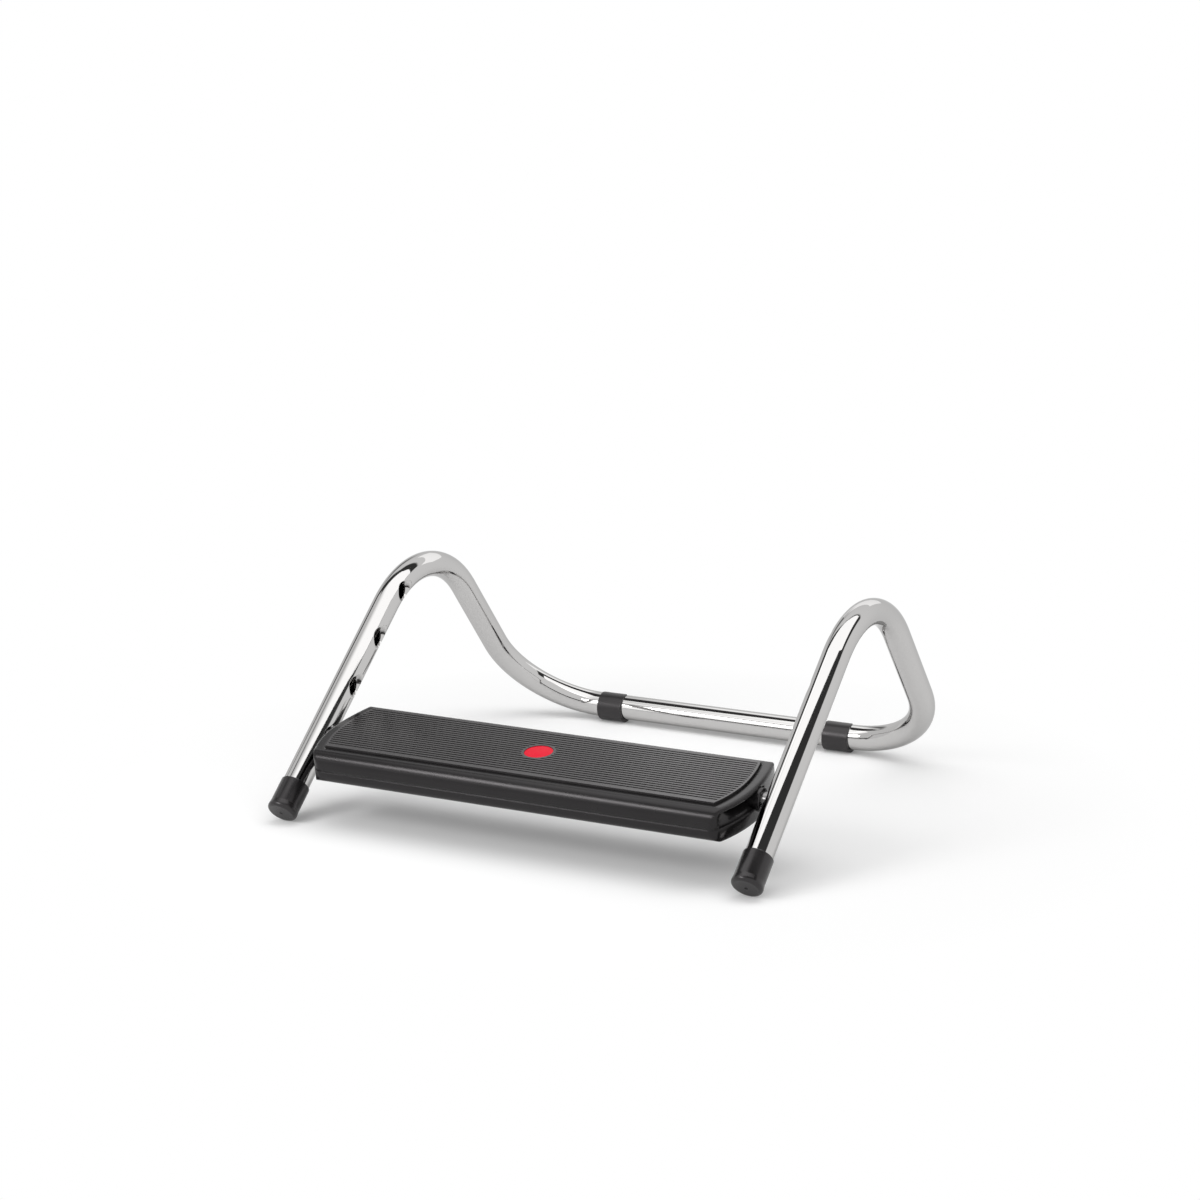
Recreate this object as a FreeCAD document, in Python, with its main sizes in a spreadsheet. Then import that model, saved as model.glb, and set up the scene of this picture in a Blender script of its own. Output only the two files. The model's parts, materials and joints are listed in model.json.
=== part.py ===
import FreeCAD, Part
import math
import os
import Sketcher

# A tilting footrest: a bent chrome tube frame with four pairs of pressed height holes, and a
# black moulded deck that rocks on two sprung pins. Millimetres, +X to the right, feet at -Y.
# Deck pieces are drawn on their own axes: x along the pivot, y to the rear, z up from the deck.

Vector = FreeCAD.Vector
doc = FreeCAD.newDocument("footrest")

# Driving dimensions, plain numbers
SIZES = [
    # frame tube
    ("tube_diameter", 25.0),
    ("tube_wall", 1.5),
    ("leg_spacing", 463.0),
    ("leg_angle", 40.48),
    ("leg_corner_length", 344.7),
    ("apex_bend_radius", 104.0),
    ("descent_angle", 48.57),
    ("rear_bend_radius", 92.0),
    # pressed height holes in the inner side of each leg
    ("first_hole", 87.8),
    ("hole_pitch", 58.0),
    ("hole_radius", 7.5),
    ("dish_depth", 5.0),
    ("dish_radius", 14.5),
    # foot caps
    ("cap_length", 32.0),
    ("cap_floor", 3.5),
    ("cap_wall", 1.2),
    ("cap_lip_radius", 14.2),
    ("cap_lip_height", 4.0),
    ("cap_edge_radius", 3.0),
    ("cap_mouth_radius", 0.8),
    ("gate_radius", 1.6),
    ("gate_depth", 0.6),
    # rear glides
    ("glide_length", 26.8),
    ("glide_radius", 14.5),
    ("glide_drop", 1.2),
    ("glide_pad", 3.0),
    ("glide_inset", 0.9),
    ("glide_top_angle", 72.0),
    ("glide_heel_angle", 318.0),
    ("glide_corner_radius", 4.0),
    # deck outline, from the pivot axis
    ("deck_tilt", 9.0),
    ("end_gap", 5.5),
    ("deck_end_radius", 125.0),
    ("deck_rear_radius", 180.0),
    ("deck_end_centre", 3.0),
    ("nose_reach", 62.0),
    ("heel_reach", 50.0),
    ("heel_lean", 4.0),
    ("deck_rise", 12.8),
    ("deck_drop", 16.2),
    ("nose_top_radius", 10.5),
    ("nose_bottom_radius", 7.0),
    ("heel_top_radius", 4.0),
    ("heel_bottom_radius", 6.0),
    ("nose_corner_radius", 9.0),
    ("heel_corner_radius", 5.0),
    ("rim_edge_radius", 2.5),
    ("deck_wall", 2.5),
    ("seam_drop", 4.2),
    ("cove_top_radius", 5.0),
    ("cove_back_radius", 8.5),
    ("cove_lip", 3.3),
    ("cove_depth", 22.0),
    ("cove_mouth", 15.0),
    ("cove_front", 57.0),
    ("cove_turn", 22.0),
    ("cove_rear", 10.7),
    ("rib_thickness", 2.0),
    ("cross_rib_pitch", 34.0),
    ("long_rib_offset", 16.0),
    ("rib_drop", 4.0),
    # ribbed tread insert
    ("mat_inset", 11.0),
    ("mat_front", 47.7),
    ("mat_rear", 41.6),
    ("mat_recess", 2.0),
    ("mat_proud", 2.2),
    ("mat_gap", 0.5),
    ("mat_border", 2.2),
    ("rib_pitch", 4.1),
    ("first_rib", 39.4),
    ("groove_width", 1.7),
    ("groove_depth", 1.2),
    # colour disc and its collar
    ("disc_radius", 13.0),
    ("disc_thickness", 2.6),
    ("disc_crown", 0.5),
    ("disc_centre", 0.0),
    ("disc_collar", 2.6),
    ("disc_gap", 0.15),
    # pivot bushes
    ("boss_radius", 10.2),
    ("boss_gap", 2.0),
    ("boss_length", 13.5),
    ("boss_edge", 1.0),
    ("neck_radius", 8.6),
    ("neck_length", 23.5),
    ("seat_gap", 0.05),
    # pivot pins, rings, washers and springs
    ("pin_radius", 4.7),
    ("pin_head_radius", 7.0),
    ("pin_head_length", 16.0),
    ("pin_reach", 9.0),
    ("pin_length", 115.0),
    ("pin_chamfer", 1.2),
    ("running_gap", 0.1),
    ("ring_radius", 7.5),
    ("ring_thickness", 1.5),
    ("ring_groove_depth", 0.8),
    ("ring_gap", 0.3),
    ("ring_mouth", 4.0),
    ("washer_radius", 7.8),
    ("washer_thickness", 1.2),
    ("spring_radius", 6.4),
    ("spring_wire", 1.2),
    ("spring_turns", 6.0),
    # bearing blocks in the base
    ("block_thickness", 6.0),
    ("spring_room", 36.0),
    ("block_width", 22.0),
    ("block_top_gap", 0.4),
    # finger pulls
    ("pull_length", 16.0),
    ("pull_width", 16.0),
    ("pull_rise", 7.0),
    ("pull_drop", 9.0),
    ("tab_thickness", 6.0),
    ("tab_reach", 28.5),
    ("tab_edge", 2.0),
    ("pull_travel", 9.5),
    ("slot_gap", 1.0),
    ("cross_pin_radius", 1.5),
    ("cross_pin_setback", 4.0),
    # deck screws
    ("screw_radius", 1.9),
    ("screw_length", 16.0),
    ("screw_head_radius", 3.6),
    ("screw_head_height", 2.4),
    ("screw_recess", 5.0),
    ("post_radius", 5.2),
    ("post_wall", 2.2),
    ("screw_inset", 43.5),
    ("screw_inner", 50.0),
    ("screw_front", 33.0),
    ("screw_rear", 30.0),
    ("overrun", 5.0),
]

# Derived places, each a formula on the driving dimensions
PLACES = [
    ("tube_radius", "sizes.tube_diameter / 2"),
    ("leg_x", "sizes.leg_spacing / 2"),
    ("tube_crown", "(sizes.leg_spacing - sizes.tube_diameter) / 2"),
    ("bar_height", "sizes.tube_diameter / 2 + sizes.glide_pad"),
    ("cap_rim", "sizes.cap_lip_radius - sizes.cap_edge_radius"),
    ("foot_height", "cap_rim * cos(sizes.leg_angle)"
     " + sizes.cap_edge_radius * (1 - sin(sizes.leg_angle))"),
    ("toe_reach", "cap_rim * sin(sizes.leg_angle)"
     " + sizes.cap_edge_radius * (1 - cos(sizes.leg_angle))"),
    ("leg_run", "sizes.leg_corner_length * cos(sizes.leg_angle)"),
    ("corner_height", "foot_height + sizes.leg_corner_length * sin(sizes.leg_angle)"),
    ("drop_run", "(corner_height - bar_height) / tan(sizes.descent_angle)"),
    ("foot_y", "toe_reach - (toe_reach + leg_run + drop_run + tube_radius) / 2"),
    ("corner_y", "foot_y + leg_run"),
    ("bar_y", "corner_y + drop_run"),
    ("glide_offset", "leg_x - sizes.rear_bend_radius - sizes.glide_length / 2"
     " - sizes.glide_inset"),
    ("pivot_y", "foot_y + sizes.first_hole * cos(sizes.leg_angle)"),
    ("pivot_z", "foot_height + sizes.first_hole * sin(sizes.leg_angle)"),
    ("recess_floor", "sizes.deck_rise - sizes.mat_recess"),
    ("mat_top", "sizes.deck_rise + sizes.mat_proud"),
    ("deck_width", "sizes.leg_spacing - sizes.tube_diameter - 2 * sizes.end_gap"),
    ("mat_width", "deck_width - 2 * sizes.mat_inset"),
    ("hollow_x", "deck_width / 2 - sizes.cove_depth - sizes.deck_wall"),
    ("screw_outer", "deck_width / 2 - sizes.screw_inset"),
    ("cavity_top", "recess_floor - sizes.deck_wall"),
    ("cavity_floor", "sizes.deck_wall - sizes.deck_drop"),
    ("cove_top", "sizes.deck_rise - sizes.cove_lip"),
    ("boss_end", "tube_crown - sizes.boss_gap"),
    ("boss_seat", "boss_end - sizes.boss_length"),
    ("bush_inner_end", "boss_seat - sizes.neck_length"),
    ("inner_block", "bush_inner_end - sizes.spring_room"),
    ("pin_tip", "tube_crown + sizes.pin_reach"),
    ("pin_inner_end", "pin_tip - sizes.pin_length"),
    ("head_start", "pin_tip - sizes.pin_head_length"),
    ("head_room", "head_start - sizes.pull_travel - sizes.slot_gap"),
    ("spring_start", "inner_block + sizes.block_thickness + sizes.ring_gap"),
    ("ring_start", "bush_inner_end - sizes.ring_gap - sizes.ring_thickness"),
    ("washer_start", "ring_start - sizes.ring_gap - sizes.washer_thickness"),
    ("spring_end", "washer_start - sizes.ring_gap"),
    ("pull_start", "pin_inner_end + sizes.ring_gap"),
]

RIB_COUNT = 20
HOLE_COUNT = 4
FULL_TURN = 360
HALF_TURN = 180
QUARTER_TURN = 90

sizes = doc.addObject("Spreadsheet::Sheet", "sizes")
for row, (alias, size) in enumerate(SIZES, start=1):
    sizes.set("A%d" % row, alias.replace("_", " "))
    sizes.set("B%d" % row, str(size))
    sizes.setAlias("B%d" % row, alias)
places = doc.addObject("Spreadsheet::Sheet", "places")
for row, (alias, formula) in enumerate(PLACES, start=1):
    places.set("A%d" % row, alias.replace("_", " "))
    places.set("B%d" % row, "=" + formula)
    places.setAlias("B%d" % row, alias)
doc.recompute()


def value(formula):
    """A formula on the two sheets, as a plain number."""
    found = sizes.evalExpression(formula)
    return float(getattr(found, "Value", found))


def size(alias):
    return value("sizes." + alias)


def place(alias):
    return value("places." + alias)


def bind(thing, formulas):
    """Tie each named property of a document object to a formula on the sheets."""
    for name, formula in formulas.items():
        thing.setExpression(name, formula)
    return thing


def on_deck(side=1):
    """Where the deck's axes lie in the frame; side -1 turns a piece to the left end."""
    tilt = FreeCAD.Rotation(Vector(1, 0, 0), size("deck_tilt"))
    turn = FreeCAD.Rotation(Vector(0, 0, 1), 0 if side > 0 else HALF_TURN)
    return FreeCAD.Placement(Vector(0, place("pivot_y"), place("pivot_z")), tilt * turn)


# Sketches and solids

def plane_of(body, role):
    return next(plane for plane in body.Origin.OriginFeatures if plane.Role == role)


def new_sketch(name, body=None, role="XY_Plane", offset=None):
    """A sketch on an origin plane of its body, or a loose one turned to the same plane."""
    if body:
        sketch = body.newObject("Sketcher::SketchObject", name)
        sketch.AttachmentSupport = [(plane_of(body, role), "")]
        sketch.MapMode = "FlatFace"
        if offset:
            sketch.setExpression("AttachmentOffset.Base.z", offset)
        return sketch
    sketch = doc.addObject("Sketcher::SketchObject", name)
    turns = {
        "XY_Plane": FreeCAD.Rotation(),
        "XZ_Plane": FreeCAD.Rotation(Vector(1, 0, 0), QUARTER_TURN),
        "YZ_Plane": FreeCAD.Rotation(Vector(1, 1, 1), FULL_TURN / 3),
    }
    sketch.Placement = FreeCAD.Placement(Vector(), turns[role])
    if offset:
        axis = {"XY_Plane": "z", "XZ_Plane": "y", "YZ_Plane": "x"}[role]
        sketch.setExpression("Placement.Base." + axis, offset)
    return sketch


def locate(sketch, geometry, end, coordinates):
    """Hold one end of a line or arc at two formulas, measured from the sketch's origin."""
    for kind, axis, formula in (("DistanceX", -2, coordinates[0]),
                                ("DistanceY", -1, coordinates[1])):
        if formula == "0":
            sketch.addConstraint(Sketcher.Constraint("PointOnObject", geometry, end, axis))
            continue
        held = Sketcher.Constraint(kind, -1, 1, geometry, end, value(formula))
        sketch.setExpression("Constraints[%d]" % sketch.addConstraint(held), formula)


def arc_between(start, end, radius, turn):
    """The shorter arc from start to end; turn 1 goes anticlockwise, -1 clockwise."""
    chord = end - start
    height = math.sqrt(max(radius ** 2 - (chord.Length / 2) ** 2, 0))
    left = Vector(-chord.y, chord.x, 0).normalize()
    centre = (start + end) / 2 + left * height * turn
    first, last = (start, end) if turn > 0 else (end, start)
    angles = [math.atan2(point.y - centre.y, point.x - centre.x) for point in (first, last)]
    circle = Part.Circle(centre, Vector(0, 0, 1), radius)
    return Part.ArcOfCircle(circle, angles[0], angles[1])


def outline(sketch, start, steps):
    """A closed outline. A step is (x, y) for a line or (x, y, radius, turn) for an arc."""
    corners = [start] + [step[:2] for step in steps]
    points = [Vector(value(x), value(y), 0) for x, y in corners]
    ends = []
    for number, step in enumerate(steps):
        before, after = points[number], points[number + 1]
        if len(step) == 2:
            geometry = sketch.addGeometry(Part.LineSegment(before, after), False)
            ends.append((geometry, 1, 2))
            continue
        radius, turn = value(step[2]), step[3]
        geometry = sketch.addGeometry(arc_between(before, after, radius, turn), False)
        held = sketch.addConstraint(Sketcher.Constraint("Radius", geometry, radius))
        sketch.setExpression("Constraints[%d]" % held, step[2])
        ends.append((geometry, 1, 2) if turn > 0 else (geometry, 2, 1))
    for number, (geometry, first, last) in enumerate(ends):
        locate(sketch, geometry, first, corners[number])
        neighbour, meets, unused = ends[(number + 1) % len(ends)]
        sketch.addConstraint(Sketcher.Constraint("Coincident", geometry, last, neighbour, meets))
    return sketch


def circle_sketch(sketch, radius, x="0", y="0"):
    centre = Vector(value(x), value(y), 0)
    circle = Part.Circle(centre, Vector(0, 0, 1), value(radius))
    geometry = sketch.addGeometry(circle, False)
    held = sketch.addConstraint(Sketcher.Constraint("Radius", geometry, value(radius)))
    sketch.setExpression("Constraints[%d]" % held, radius)
    if x == "0" and y == "0":
        sketch.addConstraint(Sketcher.Constraint("Coincident", geometry, 3, -1, 1))
    else:
        locate(sketch, geometry, 3, (x, y))
    return sketch


def new_body(label):
    body = doc.addObject("PartDesign::Body", label)
    body.Label = label
    return body


def pad(body, sketch, length, both_ways=False, name="pad"):
    feature = body.newObject("PartDesign::Pad", name)
    feature.Profile = sketch
    feature.SideType = "Symmetric" if both_ways else "One side"
    return bind(feature, {"Length": length})


def pocket(body, sketch, length, both_ways=False, backwards=False, name="pocket"):
    feature = body.newObject("PartDesign::Pocket", name)
    feature.Profile = sketch
    feature.SideType = "Symmetric" if both_ways else "One side"
    feature.Reversed = backwards
    return bind(feature, {"Length": length})


def turned(body, sketch, axis, groove=False, name="turned"):
    kind = "PartDesign::Groove" if groove else "PartDesign::Revolution"
    feature = body.newObject(kind, name)
    feature.Profile = sketch
    feature.ReferenceAxis = (sketch, [axis])
    feature.Angle = FULL_TURN
    return feature


def extrusion(name, sketch, direction, forward, backward="0"):
    solid = doc.addObject("Part::Extrusion", name)
    solid.Base = sketch
    solid.DirMode = "Custom"
    solid.Dir = direction
    solid.Solid = True
    return bind(solid, {"LengthFwd": forward, "LengthRev": backward})


def box(name, x, y, z):
    """A box between two formulas along each axis."""
    solid = doc.addObject("Part::Box", name)
    for side, axis, (low, high) in (("Length", "x", x), ("Width", "y", y), ("Height", "z", z)):
        bind(solid, {side: "(%s) - (%s)" % (high, low), "Placement.Base." + axis: low})
    return solid


def rod(name, radius, start, end, along="x", at=("0", "0")):
    """A cylinder between two formulas along x or z, with its axis at the other two."""
    solid = doc.addObject("Part::Cylinder", name)
    bind(solid, {"Radius": radius, "Height": "(%s) - (%s)" % (end, start)})
    if along == "x":
        solid.Placement.Rotation = FreeCAD.Rotation(Vector(0, 1, 0), QUARTER_TURN)
        bind(solid, {"Placement.Base.x": start, "Placement.Base.y": at[0],
                     "Placement.Base.z": at[1]})
    elif along == "y":
        solid.Placement.Rotation = FreeCAD.Rotation(Vector(1, 0, 0), -QUARTER_TURN)
        bind(solid, {"Placement.Base.y": start, "Placement.Base.x": at[0],
                     "Placement.Base.z": at[1]})
    else:
        bind(solid, {"Placement.Base.z": start, "Placement.Base.x": at[0],
                     "Placement.Base.y": at[1]})
    return solid


def common(name, *solids):
    both = doc.addObject("Part::MultiCommon", name)
    both.Shapes = list(solids)
    return both


def fused(name, *solids):
    whole = doc.addObject("Part::MultiFuse", name)
    whole.Shapes = list(solids)
    whole.Refine = True
    return whole


def cut(name, base, tool):
    rest = doc.addObject("Part::Cut", name)
    rest.Base = base
    rest.Tool = tool
    rest.Refine = True
    return rest


def rounded(name, solid, radius, chosen):
    """A fillet of one radius on the edges that chosen() picks."""
    doc.recompute()
    edge_radius = value(radius)
    feature = doc.addObject("Part::Fillet", name)
    feature.Base = solid
    feature.Edges = [(number, edge_radius, edge_radius)
                     for number, edge in enumerate(solid.Shape.Edges, start=1) if chosen(edge)]
    return feature


def smoothed(body, radius, chosen, kind="PartDesign::Fillet", name="rounding"):
    """A body's fillet or chamfer on the edges that chosen() picks."""
    doc.recompute()
    tip = body.Tip
    picked = ["Edge%d" % number
              for number, edge in enumerate(tip.Shape.Edges, start=1) if chosen(edge)]
    feature = body.newObject(kind, name)
    feature.Base = (tip, picked)
    return bind(feature, {"Radius" if kind.endswith("Fillet") else "Size": radius})


# The bent tube

def bend_path(corners, radii):
    """One smooth wire through the corners, each rounded by its own bend radius."""
    edges = []
    start = corners[0]
    for before, corner, after, radius in zip(corners, corners[1:], corners[2:], radii):
        inward = (before - corner).normalize()
        outward = (after - corner).normalize()
        half_open = inward.getAngle(outward) / 2
        reach = radius / math.tan(half_open)
        middle = (inward + outward).normalize() * (radius / math.sin(half_open) - radius)
        first, last = corner + inward * reach, corner + outward * reach
        edges.append(Part.makeLine(start, first))
        edges.append(Part.Arc(first, corner + middle, last).toShape())
        start = last
    edges.append(Part.makeLine(start, corners[-1]))
    return Part.Wire(edges)


def leg_point(distance):
    """The (y, z) of the tube's centre line, this far along the leg from the cap's end face."""
    angle = math.radians(size("leg_angle"))
    turn = angle + math.radians(size("descent_angle"))
    bend = size("apex_bend_radius")
    straight = size("leg_corner_length") - bend * math.tan(turn / 2)
    run = min(distance, straight)
    swept = (distance - run) / bend
    y = place("foot_y") + run * math.cos(angle)
    z = place("foot_height") + run * math.sin(angle)
    along = bend * math.sin(swept)
    down = bend * (1 - math.cos(swept))
    return (y + along * math.cos(angle) + down * math.sin(angle),
            z + along * math.sin(angle) - down * math.cos(angle))


def swept(name, radius, path):
    section = doc.addObject("Part::Circle", name + "_section")
    bind(section, {"Radius": radius})
    leg = FreeCAD.Rotation(Vector(1, 0, 0), size("leg_angle") - QUARTER_TURN)
    section.Placement = FreeCAD.Placement(path.Shape.Vertexes[0].Point, leg)
    tube = doc.addObject("Part::Sweep", name)
    tube.Sections = [section]
    tube.Spine = (path, ["Edge%d" % (number + 1) for number in range(len(path.Shape.Edges))])
    tube.Solid = True
    return tube


def press_profile(name, floor, wall):
    """Half the section of a press tool: a flat floor, then one round lip up to the surface."""
    run = "(sizes.dish_radius - sizes.hole_radius)"
    lip = "((%s^2 + sizes.dish_depth^2) / (2 * sizes.dish_depth))" % run
    bend = "(%s - %s)" % (lip, wall)
    floor_edge = "(sizes.dish_radius - sqrt(%s^2 - (%s - (%s))^2))" % (bend, lip, floor)
    return outline(new_sketch(name), ("-sizes.overrun", "0"), [
        (floor, "0"),
        (floor, floor_edge),
        (wall, "sizes.dish_radius", bend, -1),
        ("-sizes.overrun", "sizes.dish_radius"),
        ("-sizes.overrun", "0"),
    ])


def press_tools(name, profile):
    """The press tool at each height hole of both legs, its rim level with the tube's crown."""
    crown = place("tube_crown")
    tools = []
    for side in (1, -1):
        for number in range(HOLE_COUNT):
            y, z = leg_point(size("first_hole") + number * size("hole_pitch"))
            tool = doc.addObject("Part::Revolution", name)
            tool.Source = profile
            tool.Axis = Vector(1, 0, 0)
            tool.Angle = FULL_TURN
            tool.Solid = True
            turn = FreeCAD.Rotation(Vector(0, 0, 1), 0 if side > 0 else HALF_TURN)
            tool.Placement = FreeCAD.Placement(Vector(side * crown, y, z), turn)
            tools.append(tool)
    return fused(name + "_set", *tools)


def hole_drills():
    """A drill through the inner wall of the tube at each height hole."""
    drills = []
    start = place("tube_crown")
    for side in (1, -1):
        for number in range(HOLE_COUNT):
            y, z = leg_point(size("first_hole") + number * size("hole_pitch"))
            drill = doc.addObject("Part::Cylinder", "hole_drill")
            bind(drill, {"Radius": "sizes.hole_radius", "Height": "places.tube_radius"})
            turn = FreeCAD.Rotation(Vector(0, 1, 0), side * QUARTER_TURN)
            drill.Placement = FreeCAD.Placement(Vector(side * start, y, z), turn)
            drills.append(drill)
    return fused("hole_drill_set", *drills)


def make_frame_tube():
    angle = math.radians(size("leg_angle"))
    inset = size("cap_floor")
    start_y = place("foot_y") + inset * math.cos(angle)
    start_z = place("foot_height") + inset * math.sin(angle)
    half = [(start_y, start_z), (place("corner_y"), place("corner_height")),
            (place("bar_y"), place("bar_height"))]
    left = [Vector(-place("leg_x"), y, z) for y, z in half]
    right = [Vector(place("leg_x"), y, z) for y, z in reversed(half)]
    bends = [size("apex_bend_radius"), size("rear_bend_radius")]
    path = doc.addObject("Part::Feature", "tube_path")
    path.Shape = bend_path(left + right, bends + bends[::-1])
    outside = swept("tube_outside", "places.tube_radius", path)
    inside = swept("tube_inside", "places.tube_radius - sizes.tube_wall", path)
    outer_profile = press_profile("outer_profile", "sizes.dish_depth", "0")
    inner_profile = press_profile("inner_profile", "sizes.dish_depth + sizes.tube_wall",
                                  "sizes.tube_wall")
    dented = cut("dented_outside", outside, press_tools("outer_press", outer_profile))
    core = cut("dented_inside", inside, press_tools("inner_press", inner_profile))
    wall = cut("tube_shell", dented, core)
    tube = cut("frame_tube", wall, hole_drills())
    tube.Label = "frame_tube"
    return tube


# Feet

def make_foot_cap(side):
    """A rubber cup over the leg's end: lipped, round-edged, with a gate dot in its end face."""
    label = "foot_cap_right" if side > 0 else "foot_cap_left"
    body = new_body(label)
    bore = "places.tube_radius + sizes.seat_gap"
    wall = "places.tube_radius + sizes.cap_wall"
    mouth = "sizes.cap_mouth_radius"
    section = outline(new_sketch(label + "_section", body, "XZ_Plane"), ("0", "0"), [
        ("places.cap_rim", "0"),
        ("sizes.cap_lip_radius", "sizes.cap_edge_radius", "sizes.cap_edge_radius", 1),
        ("sizes.cap_lip_radius", "sizes.cap_lip_height"),
        (wall, "2 * sizes.cap_lip_height"),
        (wall, "sizes.cap_length - " + mouth),
        (wall + " - " + mouth, "sizes.cap_length", mouth, 1),
        (bore, "sizes.cap_length"),
        (bore, "sizes.cap_floor"),
        ("0", "sizes.cap_floor"),
        ("0", "0"),
    ])
    turned(body, section, "V_Axis")
    gate = circle_sketch(new_sketch(label + "_gate", body, "XY_Plane"), "sizes.gate_radius")
    pocket(body, gate, "sizes.gate_depth", backwards=True)
    leg = FreeCAD.Rotation(Vector(1, 0, 0), size("leg_angle") - QUARTER_TURN)
    spot = Vector(side * place("leg_x"), place("foot_y"), place("foot_height"))
    body.Placement = FreeCAD.Placement(spot, leg)
    return body


def make_glide(side):
    """A clip-on sleeve, open at the rear, thicker below, with a narrow flat on the floor."""
    label = "rear_glide_right" if side > 0 else "rear_glide_left"
    body = new_body(label)
    inner = "(places.tube_radius + sizes.seat_gap)"
    outer = "sizes.glide_radius"
    sole = "sqrt(%s^2 - (places.bar_height - sizes.glide_drop)^2)" % outer

    def within(angle):
        return "%s * cos(%s)" % (inner, angle), "%s * sin(%s)" % (inner, angle)

    def around(angle):
        reach = "(sqrt(%s^2 - (sizes.glide_drop * cos(%s))^2) - sizes.glide_drop * sin(%s))" % (
            outer, angle, angle)
        return "%s * cos(%s)" % (reach, angle), "%s * sin(%s)" % (reach, angle)

    top, heel = "sizes.glide_top_angle", "sizes.glide_heel_angle"
    front = "(%s)" % HALF_TURN
    section = outline(new_sketch(label + "_section", body, "YZ_Plane"), within(top), [
        around(top),
        around(front) + (outer, 1),
        ("-" + sole, "-places.bar_height", outer, 1),
        (sole, "-places.bar_height"),
        around(heel) + (outer, 1),
        within(heel),
        within(front) + (inner, -1),
        within(top) + (inner, -1),
    ])
    pad(body, section, "sizes.glide_length", both_ways=True)
    half_length = size("glide_length") / 2
    inside = place("tube_radius") + size("seat_gap")

    def free_corner(edge):
        ends = [vertex.Point for vertex in edge.Vertexes]
        if len(ends) < 2 or abs(abs(ends[0].x) - half_length) > size("seat_gap"):
            return False
        radii = sorted(math.hypot(point.y, point.z) for point in ends)
        return (ends[0].x == ends[1].x and abs(radii[0] - inside) < size("seat_gap")
                and radii[1] - inside > 2 * size("seat_gap"))

    smoothed(body, "sizes.glide_corner_radius", free_corner)
    spot = Vector(side * place("glide_offset"), place("bar_y"), place("bar_height"))
    body.Placement = FreeCAD.Placement(spot, FreeCAD.Rotation())
    return body


# The moulded deck

def plan_prism(name, inset, front, rear, low, high):
    """The deck's plan outline, pulled in by a margin; its ends bow less behind the pivot."""
    half = "(places.deck_width / 2 - %s)" % inset
    middle = "-sizes.deck_end_centre"
    nose_bow = "(sizes.deck_end_radius - %s)" % inset
    heel_bow = "(sizes.deck_rear_radius - %s)" % inset

    def end_x(y, bow):
        return "(%s - %s + sqrt(%s^2 - (%s + sizes.deck_end_centre)^2))" % (half, bow, bow, y)

    nose_x, heel_x = end_x(front, nose_bow), end_x(rear, heel_bow)
    sketch = outline(new_sketch(name + "_plan", offset=low), ("-" + nose_x, front), [
        (nose_x, front),
        (half, middle, nose_bow, 1),
        (heel_x, rear, heel_bow, 1),
        ("-" + heel_x, rear),
        ("-" + half, middle, heel_bow, 1),
        ("-" + nose_x, front, nose_bow, 1),
    ])
    return extrusion(name, sketch, Vector(0, 0, 1), "(%s) - (%s)" % (high, low))


def deck_block():
    """The whole deck's outside: its side profile, trimmed to its plan with rounded edges."""
    prism = plan_prism("deck_plan_prism", "0", "-sizes.nose_reach", "sizes.heel_reach",
                       "-sizes.deck_drop", "sizes.deck_rise")
    height = size("deck_rise") + size("deck_drop")

    def upright(edge):
        return edge.BoundBox.ZLength > height / 2

    nose = rounded("nose_corners", prism, "sizes.nose_corner_radius",
                   lambda edge: upright(edge) and edge.BoundBox.YMax < -size("nose_reach") / 2)
    heel = rounded("heel_corners", nose, "sizes.heel_corner_radius",
                   lambda edge: upright(edge) and edge.BoundBox.YMin > size("heel_reach") / 2
                   and edge.BoundBox.XLength < size("seat_gap"))
    softened = rounded("deck_rim_edge", heel, "sizes.rim_edge_radius",
                       lambda edge: edge.BoundBox.ZMin > size("deck_rise") - size("seat_gap"))
    sketch = new_sketch("deck_side", role="YZ_Plane", offset="-places.deck_width / 2")
    front, rise, drop = "-sizes.nose_reach", "sizes.deck_rise", "-sizes.deck_drop"
    bottom, heel = "sizes.nose_bottom_radius", "sizes.heel_bottom_radius"
    rear = "(sizes.heel_reach - sizes.heel_lean)"
    outline(sketch, (front, rise + " - sizes.nose_top_radius"), [
        (front, "%s + %s" % (drop, bottom)),
        ("%s + %s" % (front, bottom), drop, bottom, 1),
        ("%s - %s" % (rear, heel), drop),
        (rear, "%s + %s" % (drop, heel), heel, 1),
        ("sizes.heel_reach", rise + " - sizes.heel_top_radius"),
        ("sizes.heel_reach - sizes.heel_top_radius", rise, "sizes.heel_top_radius", 1),
        (front + " + sizes.nose_top_radius", rise),
        (front, rise + " - sizes.nose_top_radius", "sizes.nose_top_radius", 1),
    ])
    side = extrusion("deck_side_prism", sketch, Vector(1, 0, 0), "places.deck_width")
    return common("deck_block", softened, side)


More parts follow.
